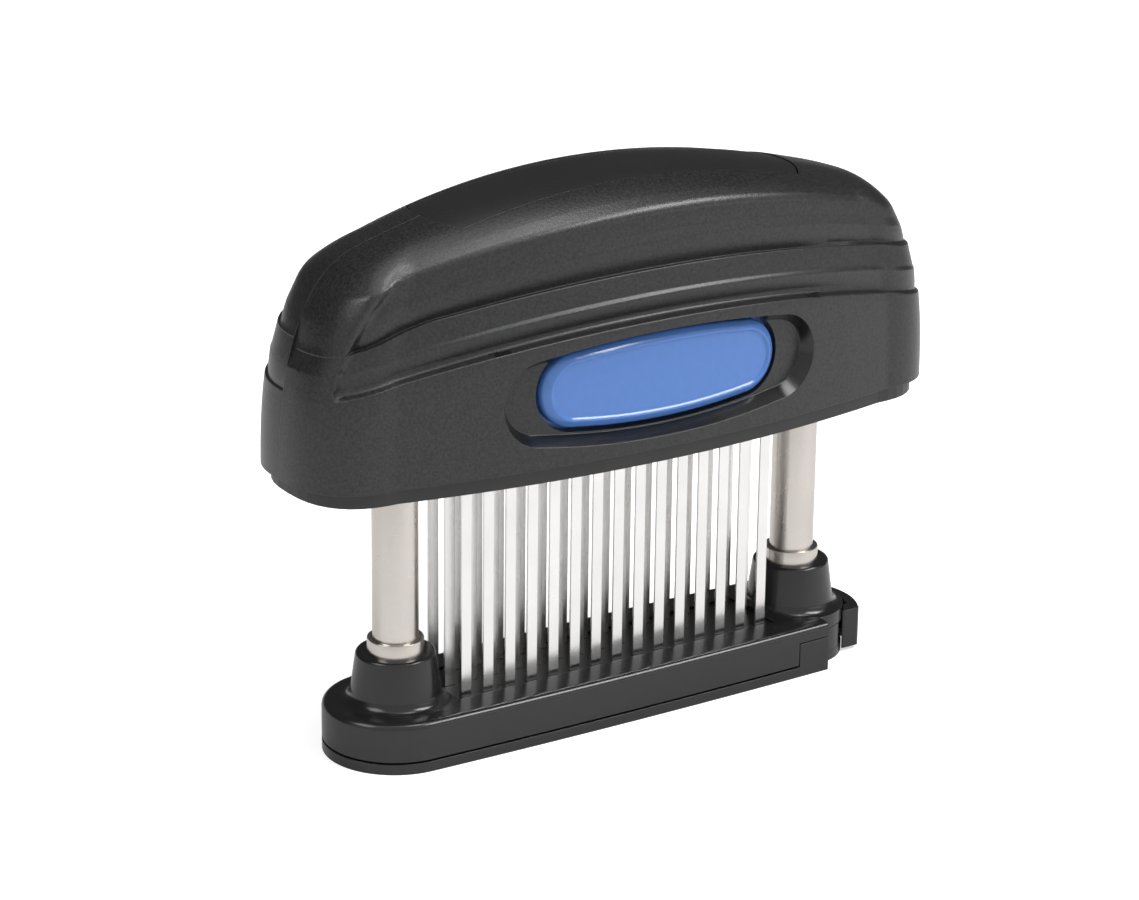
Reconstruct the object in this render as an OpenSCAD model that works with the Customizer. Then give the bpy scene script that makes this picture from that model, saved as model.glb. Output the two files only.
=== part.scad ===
// Blade meat tenderizer: a palm handle that presses 45 strip blades down
// through a foot, along two tubular guide columns with springs inside them.
// Origin: middle of the foot's resting face. X runs along the tool, -Y is the
// front, +Z is up.

/* [Foot] */
// Distance of each guide column from the middle
column_x = 50; // [48:0.5:54]
// Half width of the foot at its middle
foot_half = 16; // [15.6:0.1:18]
// Radius of the foot's round ends, about the columns
foot_end_r = 15.2; // [14.6:0.1:15.5]
// Height of the foot's deck
deck_z = 10.8; // [10:0.1:13]
// Thickness of the deck
deck_t = 3; // [2:0.1:4]
// Thickness of the foot's side wall
foot_wall = 2.2; // [1.6:0.1:3]
// Height of the top of the column bosses
boss_z = 21.2; // [18:0.1:26]
// Radius of a boss at its top
boss_r = 8.2; // [7.4:0.1:9]
// Growth of a boss's radius down to its fillet
boss_draft = 1.1; // [0:0.1:1.6]
// Radius of the fillet at the foot of a boss
boss_fillet = 2.4; // [1:0.1:3]

/* [Bottom plate] */
// Thickness of the bottom plate
plate_t = 2.2; // [1.6:0.1:3]
// Height of the plate's corner block and end wall
block_z = 7.6; // [6:0.1:8]
// Length of the corner block along the side
block_len = 7.8; // [5:0.1:10]

/* [Columns] */
// Radius of a guide column
column_r = 4.76; // [4.4:0.02:5]
// Wall of a guide column
column_wall = 0.9; // [0.6:0.05:1.1]
// Height of the top of the columns
column_top = 68.8; // [66:0.1:68.8]
// Radius of the collar round each column
collar_r = 5.87; // [5.6:0.01:6.4]
// Height of a collar above its boss
collar_h = 3; // [2:0.1:4]

/* [Blades] */
// Blades in a row
blades_per_row = 15; // [7:2:15]
// Distance between blades in a row
blade_pitch = 5.31; // [4.6:0.01:5.4]
// Distance between rows
row_pitch = 6.5; // [6:0.1:7.4]
// Width of a blade
blade_w = 2.4; // [1.6:0.1:2.8]
// Thickness of a blade
blade_t = 0.5; // [0.4:0.05:0.8]
// Length of a blade
blade_len = 68; // [67:0.1:68.4]
// Length of the slanted cutting tip
blade_tip = 2.2; // [1:0.1:4]

/* [Handle] */
// Half depth of the handle at its middle
handle_half = 24; // [23.6:0.1:26]
// Half length of the handle
handle_tip = 76.4; // [75.5:0.1:80]
// Radius of the bow of the front and the rear
handle_bow = 294; // [280:1:400]
// Height of the underside of the handle at rest
handle_z = 59.7; // [59.5:0.1:61]
// Height of the top of the handle at rest
crown_z = 116.9; // [116:0.1:120]
// Fall of the crown per square millimetre of length
crown_fall = 0.0027; // [0.0023:0.0001:0.0029]
// Wall of the handle's sides
shell_wall = 2.4; // [2:0.1:3]
// Wall of the handle's roof
roof_wall = 3.6; // [3.2:0.1:3.8]
// How far the palm arch sits inside the skirt
arch_inset = 4.1; // [3.6:0.1:4.6]
// Thickness of the handle's floor
floor_t = 2.9; // [2.4:0.1:3.2]
// How far the floor's edge is set back from the shells
floor_inset = 1; // [0.4:0.1:1.4]

/* [Insert and buttons] */
// Half length of the top insert
insert_half = 43.6; // [38:0.1:44]
// Half width of the top insert
insert_w = 10.2; // [8:0.1:10.6]
// Thickness of the top insert
insert_t = 1.8; // [1.4:0.1:2]
// How far the insert lies below the shells
insert_sink = 0.2; // [0:0.05:0.4]
// Half length of a release button
button_half = 28.3; // [24:0.1:28.6]
// Half height of a release button at its middle
button_h = 9.1; // [7.5:0.1:9.2]
// Height of the middle of the buttons
button_z = 77.6; // [77.2:0.1:78]
// Distance of a button's face from the middle plane
button_face = 22.7; // [22.2:0.1:23.2]
// Travel of a button
button_travel = 2.2; // [1.6:0.1:2.4]
// Half length of the scooped recess round a button
recess_half = 38.2; // [36:0.1:39]
// Depth of the recess under the skirt
recess_depth = 2.8; // [2:0.1:3.2]
// Half height of the recess
recess_h = 11.2; // [10.8:0.1:11.4]

/* [Motion] */
// Stroke of the handle
stroke = 35; // [20:0.5:35]
// Turn of the plate latch
latch_turn = 30; // [20:1:32]

/* [Fits] */
// Radial clearance of a column in its bush
run_gap = 0.05; // [0.02:0.01:0.1]
// Gap round pieces that slide or turn
slide_gap = 0.15; // [0.1:0.01:0.2]
// Gap at a visible seam
seam = 0.3; // [0.2:0.05:0.4]
// Play of a seated piece in its pocket
seat_gap = 0.02; // [0.01:0.01:0.05]

/* [Hidden] */
$fn = 72;
eps = 0.01;
far = 200;

// Foot
body_z = plate_t + seam;                 // underside of the foot body
foot_bow_d = foot_half - foot_end_r;
foot_bow = (column_x * column_x + foot_bow_d * foot_bow_d) / (2 * foot_bow_d);
shoulder = 1.2;                          // rounding of the deck's edge
land_z = block_z + 0.1;                  // underside of the foot's end wall
nose_r = 11.6;                           // radius of the recessed end wall
cut_x = column_x - 0.4;                  // where the recess round the end starts
guide_half_x = (blades_per_row - 1) / 2 * blade_pitch + blade_w / 2 + 1.5;
guide_half_y = row_pitch + blade_t / 2 + 1.5;
guide_sink = 0.5;                        // the guide's top lies below the deck
guide_lip = 1;                           // ledge that the guide rests on
stub_r = 5.2;                            // journal of the latch round the right screw
screw_r = 1.5;
head_r = 2.9;
head_h = 2;
column_z = 7.9;                          // lower end of a column
plug_h = 4.6;
collar_wall_z = boss_z + collar_h;

// Latch
hub_r = 8.6;
hub_t = 1.8;
hub_z = plate_t + 0.2;
band_in = 12.9;                          // inner radius of the finger band
band_z0 = 0.8;
band_z1 = 9.6;
latch_from = -38;                        // the band's ends, as angles about the column
latch_to = 50;
lug_from = -92;                          // lug of the latch under the hook of the plate
lug_to = lug_from + latch_turn - 4;      // a full turn takes it clear
hook_t = 1.4;

// Blades
blade_top = handle_z + 11.3;
blade_bottom = blade_top - blade_len;
head_w = 3.8;                            // T head that hangs each blade in the carrier
head_drop = 2.2;
slot_play = 0.15;

// Handle
shell_z = handle_z + floor_t + 0.3;      // lower edge of the shells
end_x = handle_tip - 15.8;               // where the rounded ends start
end_h = handle_half - end_x * end_x / (2 * handle_bow);
end_n = 2.55;
corner_x = handle_tip - 18.6;            // where the crown turns down
corner_n = 2.5;
corner_drop = 40.7;
lip_z = handle_z + 0.53 * (crown_z - handle_z);      // heights at the middle
ridge_z = handle_z + 0.615 * (crown_z - handle_z);
valley_z = handle_z + 0.685 * (crown_z - handle_z);
side_fall = 0.6 * crown_fall;            // fall of those three lines
arch_n = 2.9;
arch_end = 86;                           // the arch closes with a narrow flat
groove_end = handle_tip - 3.2;           // the groove stops bluntly on the left
groove_run = 1.6;
groove_trace = 0.06;                     // share of the depth that is left there
window_x = guide_half_x + 1;
window_y = guide_half_y + 0.8;
carrier_x = window_x + 2;
carrier_y = window_y + 0.8;
carrier_z = handle_z + floor_t;          // seat of the carrier on the floor
carrier_top = blade_top + seat_gap;
lid_t = 2;
lid_top = carrier_top + lid_t;
bush_r = 7;
bush_top = column_top - 1.1;
flange_r = 8.4;
flange_t = 1.2;
ring_r = column_r + 0.64;
ring_h = 1.6;
ring_top = column_top + 0.6;
pad_z = ring_top + stroke + 0.2;         // the roof pads stay clear of the stop rings
pad_r = 6.6;
stud_head_r = 5;
stud_head_t = 1.5;
stud_r = 3.3;
spigot_r = 2.3;
spring_r = 3.05;                         // mean radius of a return spring's coil
spring_wire = 0.4;                       // radius of its wire
spring_z0 = column_z + plug_h;
spring_z1 = pad_z - 4.6;
spring_turns = 14;
floor_screw_x = [-64, -36, 36, 64];
floor_screw_r = 1;
floor_head_r = 2.3;
floor_screw_len = 11;
cross_len = 2.6;
cross_w = 0.6;
pocket_w = 4;                            // lightening pockets of the carrier
recess_slant = 1.2;                      // lean of the recess's walls
button_gap = 1;                          // dark gap round a button
pad_in = 17.4;                           // inner face of the pad round a button
flange_in = 15.8;
button_grow = 2;                         // the flange is larger than the opening
plate_z0 = lid_top + 0.2;                // the button's catch plate
plate_z1 = plate_z0 + 1.5;
catch_x = 9;                             // hooks of the cartridge's lid
catch_y = -carrier_y + 0.8;
catch_len = 3;
catch_t = 1.4;
catch_w = 4;
button_bow = handle_bow;
rim = 2.1;
rim_depth = 0.6;
bspring_x = 12;
bspring_z = handle_z + 9;
bspring_r = 1.5;
bspring_wire = 0.25;

sides = [-1, 1];

// ---------- shared shapes ----------

// Plan of the foot: two round ends joined by slightly bowed sides
module foot_plan(grow = 0, fn = 720) {
    for (s = sides) translate([s * column_x, 0]) circle(foot_end_r + grow, $fn = 96);
    intersection() {
        square([2 * column_x, 4 * foot_half], center = true);
        bow_lens(foot_bow, foot_half + grow, fn);
    }
}

module bow_lens(r, half, fn) {
    intersection() {
        translate([0, r - half]) circle(r, $fn = fn);
        translate([0, half - r]) circle(r, $fn = fn);
    }
}

// Oval with a bowed top and bottom, round ends and half sizes a by b
module oval(a, b, bow = 1.2) {
    e = b - bow;
    r = ((a - e) * (a - e) + bow * bow) / (2 * bow);
    for (s = sides) translate([s * (a - e), 0]) circle(e);
    intersection() {
        square([2 * (a - e), 3 * b], center = true);
        bow_lens(r, b, 720);
    }
}

// Ring sector about the Z axis
module sector(r0, r1, a0, a1, h) {
    rotate([0, 0, a0]) rotate_extrude(angle = a1 - a0, $fn = 144)
        translate([r0, 0]) square([r1 - r0, h]);
}

// Half width of the handle's plan at x
function plan_w(x) = let(u = abs(x))
    u <= end_x ? handle_half - u * u / (2 * handle_bow)
               : end_h * pow(max(0, 1 - pow((u - end_x) / (handle_tip - end_x), end_n)), 1 / end_n);

// Reach of the end profile at a height h that falls by f per square millimetre
function end_at(h, f, n = 6, e = handle_tip) = n == 0 ? e :
    let(d = max(0, min(corner_drop, crown_z - h - (crown_fall - f) * e * e)) / corner_drop)
    end_at(h, f, n - 1, corner_x + (handle_tip - corner_x) * pow(1 - pow(1 - d, corner_n), 1 / corner_n));

// Share of the groove's depth at x: it stops bluntly at the left, and runs
// round the right end as far as the parting plane
function groove_fade(x) = x > 0 ? 1 : max(groove_trace, min(1, (groove_end + x) / groove_run));

// Levels of the outer side: [set-back, height, fall, narrowing]
outer_side = [[0, handle_z, 0, 1], [0, lip_z - 0.7, side_fall, 1], [0.3, lip_z, side_fall, 1],
              [2.3, lip_z + 0.25, side_fall, 1], [2.5, lip_z + 0.7, side_fall, 1],
              [1.7, ridge_z - 0.7, side_fall, 1], [1.6, ridge_z, side_fall, 1],
              [1.9, ridge_z + 0.6, side_fall, 1], [arch_inset, valley_z, side_fall, 1]];
inner_side = [[0, handle_z, 0, 1], [0, lip_z - 2.6, side_fall, 1], [2.1, lip_z, side_fall, 1],
              [2.5, ridge_z - 1.2, side_fall, 1], [arch_inset, valley_z - 2.4, side_fall, 1]];

// Levels of the arch over a side, up to its flat
function arch(side, drop, steps) =
    let(low = side[len(side) - 1])
    [for (i = [1 : steps]) let(a = arch_end * i / steps, s = pow(sin(a), 2 / arch_n))
        [arch_inset, low[1] + (crown_z - drop - low[1]) * s, low[2] + (crown_fall - low[2]) * s,
         pow(cos(a), 2 / arch_n)]];

// One side of a level, from the left tip to the right one. off draws the plan in.
function level_line(l, off, drop, stations) =
    let(e = end_at(l[1] + drop * (1 - l[3]), l[2]), k = (handle_tip - off) / handle_tip)
    [for (i = [0 : stations])
        let(q = sin(-90 + 180 * i / stations), back = l[0] * groove_fade(handle_tip * q),
            x = k * q * min(e, handle_tip - back))
        [x, -plan_w(handle_tip * q) * (handle_half - back - off) / handle_half * l[3], l[1] - l[2] * x * x]];

// The handle's form, lofted upward through its levels and closed below and
// above by ladders of flat strips
module handle_form(side, off = 0, drop = 0, stations = 38, steps = 8) {
    levels = concat(side, arch(side, drop, steps));
    m = 2 * stations;
    last = (len(levels) - 1) * m;
    points = [for (l = levels) let(front = level_line(l, off, drop, stations))
        each concat(front, [for (i = [stations - 1 : -1 : 1]) [front[i][0], -front[i][1], front[i][2]]])];
    faces = concat(
        [[0, 1, m - 1], [stations - 1, stations, stations + 1]],
        [for (i = [1 : stations - 2]) [i, i + 1, m - i - 1, m - i]],
        [for (k = [0 : len(levels) - 2]) for (j = [0 : m - 1])
            let(a = k * m + j, b = k * m + (j + 1) % m) each [[a, a + m, b], [a + m, b + m, b]]],
        [[last, last + m - 1, last + 1], [last + stations - 1, last + stations + 1, last + stations]],
        [for (i = [1 : stations - 2]) [last + i, last + m - i, last + m - i - 1, last + i + 1]]);
    polyhedron(points = points, faces = faces, convexity = 8);
}

// Height of the roof over a point of the plan
function roof_z(x, y, n = 4, e = handle_tip) =
    let(w = plan_w(handle_tip * x / e) * (handle_half - arch_inset) / handle_half,
        s = pow(1 - pow(min(1, abs(y) / w), arch_n), 1 / arch_n),
        h = valley_z + (crown_z - valley_z) * s,
        f = side_fall + (crown_fall - side_fall) * s)
    n == 0 ? h - f * x * x : roof_z(x, y, n - 1, end_at(h, f));

// Slab that follows the roof, between two depths under it
module crown_slab(from, to, nx = 16, ny = 10) {
    a = insert_half + 2;
    b = insert_w + 1.5;
    grid = [for (i = [0 : nx]) for (j = [0 : ny]) [-a + 2 * a * i / nx, -b + 2 * b * j / ny]];
    m = ny + 1;
    n = len(grid);
    points = [for (d = [from, to]) for (p = grid) [p[0], p[1], roof_z(p[0], p[1]) - d]];
    edge = concat([for (j = [0 : ny]) j], [for (i = [1 : nx]) i * m + ny],
                  [for (j = [ny - 1 : -1 : 0]) nx * m + j], [for (i = [nx - 1 : -1 : 1]) i * m]);
    e = len(edge);
    polyhedron(points = points, convexity = 4, faces = concat(
        [for (i = [0 : nx - 1]) for (j = [0 : ny - 1]) let(q = i * m + j)
            each [[q, q + 1, q + m], [q + 1, q + m + 1, q + m],
                  [q + n, q + m + n, q + 1 + n], [q + 1 + n, q + m + n, q + m + 1 + n]]],
        [for (i = [0 : e - 1]) let(u = edge[i], v = edge[(i + 1) % e])
            each [[u, u + n, v], [v, u + n, v + n]]]));
}

// Plan of the handle's floor
module floor_plan(inset) {
    k = (handle_tip - 2 * inset) / handle_tip;
    xs = [for (i = [0 : 48]) handle_tip * sin(-90 + 180 * i / 48)];
    front = [for (x = xs) [x * k, -(plan_w(x) - inset * min(1, plan_w(x) / end_h))]];
    rear = [for (i = [len(front) - 2 : -1 : 1]) [front[i][0], -front[i][1]]];
    polygon(concat(front, rear));
}

// Coil of round wire along +Z with its ends ground flat by the trim planes
module coil(mean_r, wire, z0, z1, turns, rings = 8, sides_n = 5) {
    steps = turns * rings;
    rise = z1 - z0 - 2 * wire;
    pts = [for (i = [0 : steps])
        let(a = 360 * i / rings, z = z0 + wire + rise * i / steps)
        for (j = [0 : sides_n - 1])
            let(b = 360 * j / sides_n, r = mean_r + wire * cos(b))
            [r * cos(a), r * sin(a), z + wire * sin(b)]];
    n = sides_n;
    polyhedron(points = pts, convexity = 10, faces = concat(
        [[for (j = [n - 1 : -1 : 0]) j]],
        [for (i = [0 : steps - 1]) for (j = [0 : n - 1])
            let(a = i * n + j, b = i * n + (j + 1) % n) each [[a, b, a + n], [b, b + n, a + n]]],
        [[for (j = [0 : n - 1]) steps * n + j]]));
}

// Puts children at every blade of the rows with the given offsets
module at_blades(rows) {
    for (r = rows) for (i = [0 : blades_per_row - 1])
        translate([(i - (blades_per_row - 1) / 2) * blade_pitch, r * row_pitch, 0]) children();
}

// Slots for blades, cut through from z0 up to z1
module blade_slots(play, z0, z1) {
    at_blades([-1, 0, 1]) translate([-blade_w / 2 - play, -blade_t / 2 - play, z0])
        cube([blade_w + 2 * play, blade_t + 2 * play, z1 - z0]);
}

// ---------- foot ----------

module foot_outer() {
    hull() {
        translate([0, 0, body_z]) linear_extrude(deck_z - shoulder - body_z) foot_plan(0, 240);
        translate([0, 0, body_z]) linear_extrude(deck_z - 0.35 * shoulder - body_z)
            foot_plan(-0.35 * shoulder, 240);
        translate([0, 0, body_z]) linear_extrude(deck_z - body_z) foot_plan(-shoulder, 240);
    }
}

module boss() {
    fillet_z = deck_z + boss_fillet;
    base_r = boss_r + boss_draft;
    difference() {
        rotate_extrude() polygon([[0, deck_z - deck_t], [base_r + boss_fillet, deck_z - deck_t],
            [base_r + boss_fillet, deck_z], [base_r, fillet_z], [boss_r, boss_z - 0.5],
            [boss_r - 0.5, boss_z], [0, boss_z]]);
        rotate_extrude() translate([base_r + boss_fillet, fillet_z]) circle(boss_fillet);
    }
}

module foot_body() {
    color([0.13, 0.13, 0.14]) difference() {
        union() {
            difference() {
                foot_outer();
                // hollow under the deck between the bosses
                translate([-column_x + nose_r, -foot_end_r + foot_wall, 0])
                    cube([2 * (column_x - nose_r), 2 * (foot_end_r - foot_wall), deck_z - deck_t]);
                // the recess round the right end and the pocket under its boss
                intersection() {
                    translate([column_x, 0, 0]) difference() {
                        cylinder(r = 2 * foot_end_r, h = far);
                        translate([0, 0, land_z]) cylinder(r = nose_r, h = far);
                    }
                    translate([cut_x, -far / 2, -1]) cube([far, far, far]);
                }
                translate([column_x, 0, 0]) cylinder(r = nose_r, h = land_z);
            }
            for (s = sides) translate([s * column_x, 0, 0]) boss();
            translate([column_x, 0, hub_z]) cylinder(r = stub_r, h = deck_z - hub_z);
        }
        for (s = sides) translate([s * column_x, 0, 0]) {
            translate([0, 0, column_z]) cylinder(r = column_r + seat_gap, h = far);
            translate([0, 0, collar_wall_z - 6]) cylinder(r = collar_r + seat_gap, h = far);
            cylinder(r = screw_r + 0.1, h = far);
            cylinder(r = head_r + 0.2, h = body_z + head_h + 0.3);
        }
        // pocket for the corner block of the plate, and the slot for its tongue
        corner_block(seam);
        tongue_pocket();
        // window of the blade guide with the ledge that carries it
        translate([0, 0, deck_z - guide_sink - guide_t()])
            guide_box(seat_gap, far);
        guide_box_at(-guide_lip, 0, far);
    }
}

function guide_t() = deck_t - guide_sink - 1;

module guide_box(grow, h) {
    translate([-guide_half_x - grow, -guide_half_y - grow, 0])
        cube([2 * (guide_half_x + grow), 2 * (guide_half_y + grow), h]);
}

module guide_box_at(grow, z, h) {
    translate([0, 0, z]) guide_box(grow, h);
}

module blade_guide() {
    color([0.1, 0.1, 0.11]) difference() {
        guide_box_at(0, deck_z - guide_sink - guide_t(), guide_t());
        blade_slots(slot_play, 0, far);
    }
}

// Block of the plate at the front and rear of the right end
module corner_block(grow = 0) {
    intersection() {
        translate([0, 0, -1]) linear_extrude(block_z + 1 + grow) foot_plan(grow > 0 ? 1 : 0, 720);
        for (s = sides) translate([cut_x - block_len - grow, s > 0 ? foot_end_r - foot_wall - grow : -far, -2])
            cube([block_len + 2 * grow, far - foot_end_r + foot_wall + grow, far]);
    }
}

module tongue_pocket() {
    translate([-column_x - nose_r - 1.2, -4, 0]) cube([1.6, 8, body_z + 2.2]);
}

module bottom_plate() {
    color([0.12, 0.12, 0.13]) difference() {
        union() {
            difference() {
                linear_extrude(plate_t) foot_plan(0, 720);
                translate([0, 0, -1]) intersection() {
                    translate([cut_x, -far / 2, 0]) cube([far, far, far]);
                    translate([column_x, 0, 0]) difference() {
                        cylinder(r = 2 * foot_end_r, h = far);
                        cylinder(r = nose_r, h = far);
                    }
                }
            }
            difference() {
                corner_block();
                translate([-far / 2, -far / 2, -far]) cube([far, far, far]);
            }
            // end wall under the foot's recessed end, with the hooks over the latch
            translate([column_x, 0, 0]) {
                sector(nose_r - 1.8, nose_r - seat_gap, lug_from, lug_to + 10, block_z);
                sector(nose_r - 1.8, nose_r - seat_gap, latch_to - 16 + latch_turn + 4, 92, block_z);
                translate([0, 0, hub_z + hub_t + 0.2]) sector(hub_r - 1.4, nose_r - 1, lug_from, lug_to, hook_t);
            }
            translate([-column_x - nose_r - 1, -3.8, 0]) cube([1.2, 7.6, body_z + 2]);
        }
        blade_slots(slot_play + 0.15, -1, plate_t + 1);
        for (s = sides) translate([s * column_x, 0, -1]) cylinder(r = head_r + 0.6, h = far);
    }
}

// Plan of the thumb lip at the band's front end, with round corners
module finger_lip() {
    x0 = 7.9;
    x1 = 12.9;
    y0 = -8.9;
    r = 0.9;
    difference() {
        union() {
            for (x = [x0 + r, x1 - r]) translate([x, y0 + r]) circle(r, $fn = 32);
            translate([x0 + r, y0]) square([x1 - x0 - 2 * r, 3]);
            translate([x0, y0 + r]) square([x1 - x0, 2]);
        }
        circle(nose_r + seam);
    }
}

module latch_lever() {
    color([0.1, 0.1, 0.11]) translate([column_x, 0, 0]) {
        difference() {
            union() {
                translate([0, 0, hub_z]) cylinder(r = hub_r - 2, h = hub_t);
                translate([0, 0, hub_z]) sector(stub_r + 0.5, hub_r, lug_from, lug_to, hub_t);
                translate([0, 0, hub_z]) sector(stub_r + 0.5, band_in + 0.5, latch_from + 6, latch_to - 16, hub_t);
            }
            cylinder(r = stub_r + run_gap, h = far);
        }
        translate([0, 0, band_z0])
            sector(band_in, foot_end_r, latch_from + 8, latch_to, band_z1 - band_z0);
        translate([0, 0, band_z0]) linear_extrude(band_z1 - band_z0) finger_lip();
    }
}

// ---------- columns ----------

module column(s) {
    color([0.72, 0.70, 0.67]) translate([s * column_x, 0, column_z]) difference() {
        cylinder(r = column_r, h = column_top - column_z);
        translate([0, 0, -1]) cylinder(r = column_r - column_wall, h = far);
    }
}

module collar(s) {
    color([0.70, 0.68, 0.65]) translate([s * column_x, 0, collar_wall_z - 6]) difference() {
        cylinder(r = collar_r, h = 6);
        translate([0, 0, -1]) cylinder(r = column_r + seat_gap, h = 8);
    }
}

module column_plug(s) {
    color([0.6, 0.6, 0.6]) translate([s * column_x, 0, column_z]) difference() {
        cylinder(r = column_r - column_wall - seat_gap, h = plug_h);
        translate([0, 0, -1]) cylinder(r = screw_r + seat_gap, h = far);
    }
}

module column_screws() {
    color([0.75, 0.75, 0.75]) for (s = sides) translate([s * column_x, 0, body_z + 0.3]) {
        difference() {
            cylinder(r = head_r, h = head_h);
            translate([0, 0, -1]) cylinder(r = 1.4, h = 2, $fn = 6);
        }
        cylinder(r = screw_r, h = column_z + plug_h - body_z - 0.6);
    }
}

module stop_ring(s) {
    color([0.6, 0.6, 0.6]) translate([s * column_x, 0, ring_top - ring_h]) difference() {
        cylinder(r = ring_r, h = ring_h);
        translate([0, 0, -1]) cylinder(r = column_r + seat_gap, h = ring_h + 1 - 0.6);
        cylinder(r = column_r - column_wall, h = far);
    }
}

module return_spring(s) {
    color([0.7, 0.7, 0.72]) translate([s * column_x, 0, 0])
        coil(spring_r, spring_wire, spring_z0, spring_z1, spring_turns);
}

// ---------- handle ----------

module insert_plan(grow) {
    a = insert_half + grow;
    b = insert_w + grow;
    polygon([[-a, 0], [-a + 0.6, -b / 2], [-a + 3.1, -b], [a - 3.1, -b], [a - 0.6, -b / 2], [a, 0],
             [a - 0.6, b / 2], [a - 3.1, b], [-a + 3.1, b], [-a + 0.6, b / 2]]);
}

// Everything that is hollowed out of the shells
module shell_hollow() {
    difference() {
        handle_form(inner_side, shell_wall, roof_wall, 24, 5);
        // solid pads round the buttons
        for (s = sides) translate([-recess_half - 3, s > 0 ? pad_in : -far, shell_z - 1])
            cube([2 * recess_half + 6, far - pad_in, button_z + recess_h + 2.5 - shell_z]);
        // pads that hold the spring studs
        for (s = sides) translate([s * column_x, 0, pad_z]) cylinder(r = pad_r, h = far);
        // posts for the floor's screws
        for (x = floor_screw_x) for (s = sides) if (screw_here(x, s))
            translate([x, s * post_y(x), 0]) cylinder(r = post_r, h = shell_z + 13);
    }
}

post_r = 2.6;
function post_y(x) = (abs(x) > column_x ? plan_w(x) - shell_wall : pad_in) - post_r + 0.8;
function screw_here(x, s) = x * s * (abs(x) > column_x ? 1 : -1) > 0;

module floor_screw_axes() {
    for (x = floor_screw_x) for (s = sides) if (screw_here(x, s))
        translate([x, s * post_y(x), 0]) children();
}

// Tapered scoop that holds a button
module scoop() {
    difference() {
        hull() {
            translate([0, 5.4 - handle_half, button_z - 1]) rotate([90, 0, 0])
                linear_extrude(eps) oval(recess_half - 2 * recess_slant, recess_h - 3 * recess_slant, $fn = 32);
            translate([0, -handle_half, button_z - 1]) rotate([90, 0, 0])
                linear_extrude(1) oval(recess_half + recess_slant, recess_h, $fn = 32);
        }
        translate([0, handle_bow - handle_half + recess_depth, 0]) cylinder(r = handle_bow, h = far, $fn = 720);
    }
}

module button_prism(a, b, y0, y1) {
    translate([0, y1, button_z]) rotate([90, 0, 0]) linear_extrude(y1 - y0) oval(a, b);
}

// Front shell; the rear one is the same moulding turned half round
module handle_shell() {
    difference() {
        handle_form(outer_side);
        shell_hollow();
        translate([-far / 2, -seat_gap / 2, 0]) cube([far, far, far]);
        translate([-far / 2, -far / 2, 0]) cube([far, far, shell_z]);
        scoop();
        button_prism(button_half + button_gap, button_h + button_gap, -far / 4, 0);
        // seat of the top insert
        intersection() {
            translate([0, 0, pad_z]) linear_extrude(far) insert_plan(0.25);
            crown_slab(-2, insert_t + insert_sink + seat_gap);
        }
        // seats of the spring studs
        for (s = sides) translate([s * column_x, 0, 0]) {
            translate([0, 0, pad_z + 0.2]) cylinder(r = stud_head_r + seat_gap, h = stud_head_t);
            cylinder(r = stud_r + seat_gap, h = pad_z + 0.3);
        }
        floor_screw_axes() cylinder(r = floor_screw_r, h = shell_z + floor_screw_len - 1);
    }
}

module handle_shell_front() {
    color([0.14, 0.14, 0.15]) handle_shell();
}

module handle_shell_rear() {
    color([0.14, 0.14, 0.15]) rotate([0, 0, 180]) handle_shell();
}

module handle_floor() {
    color([0.13, 0.13, 0.14]) difference() {
        translate([0, 0, handle_z]) linear_extrude(floor_t) floor_plan(floor_inset);
        translate([-window_x, -window_y, 0]) cube([2 * window_x, 2 * window_y, far]);
        for (s = sides) translate([s * column_x, 0, 0]) cylinder(r = bush_r + seat_gap, h = far);
        floor_screw_axes() {
            cylinder(r = floor_screw_r + 0.35, h = far);
            translate([0, 0, handle_z - 1]) cylinder(r = floor_head_r + 0.2, h = 2.4);
        }
    }
}

module floor_screws() {
    color([0.7, 0.7, 0.7]) floor_screw_axes() translate([0, 0, handle_z + 0.2]) {
        difference() {
            cylinder(r = floor_head_r, h = 1.2);
            for (a = [0, 90]) rotate([0, 0, a]) translate([-cross_len / 2, -cross_w / 2, -1])
                cube([cross_len, cross_w, 1.7]);
        }
        cylinder(r = floor_screw_r, h = floor_screw_len);
    }
}

module guide_bush(s) {
    color([0.85, 0.85, 0.82]) translate([s * column_x, 0, 0]) difference() {
        union() {
            translate([0, 0, handle_z + 0.3]) cylinder(r = bush_r, h = bush_top - handle_z - 0.3);
            translate([0, 0, carrier_z]) intersection() {
                cylinder(r = flange_r, h = flange_t);
                translate([s > 0 ? carrier_x + seat_gap - column_x : -far, -far / 2, 0])
                    cube([far + column_x - carrier_x - seat_gap, far, far]);
            }
        }
        cylinder(r = column_r + run_gap, h = far);
    }
}

module spring_stud(s) {
    color([0.6, 0.6, 0.6]) translate([s * column_x, 0, 0]) {
        translate([0, 0, pad_z + 0.2]) cylinder(r = stud_head_r, h = stud_head_t);
        translate([0, 0, spring_z1]) cylinder(r = stud_r, h = pad_z + 0.3 - spring_z1);
        translate([0, 0, spring_z1 - 3]) cylinder(r = spigot_r, h = 3.1);
    }
}

module top_insert() {
    color([0.09, 0.09, 0.1]) intersection() {
        translate([0, 0, pad_z]) linear_extrude(far) insert_plan(0);
        crown_slab(insert_sink, insert_t + insert_sink);
    }
}

// ---------- blade cartridge ----------

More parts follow.
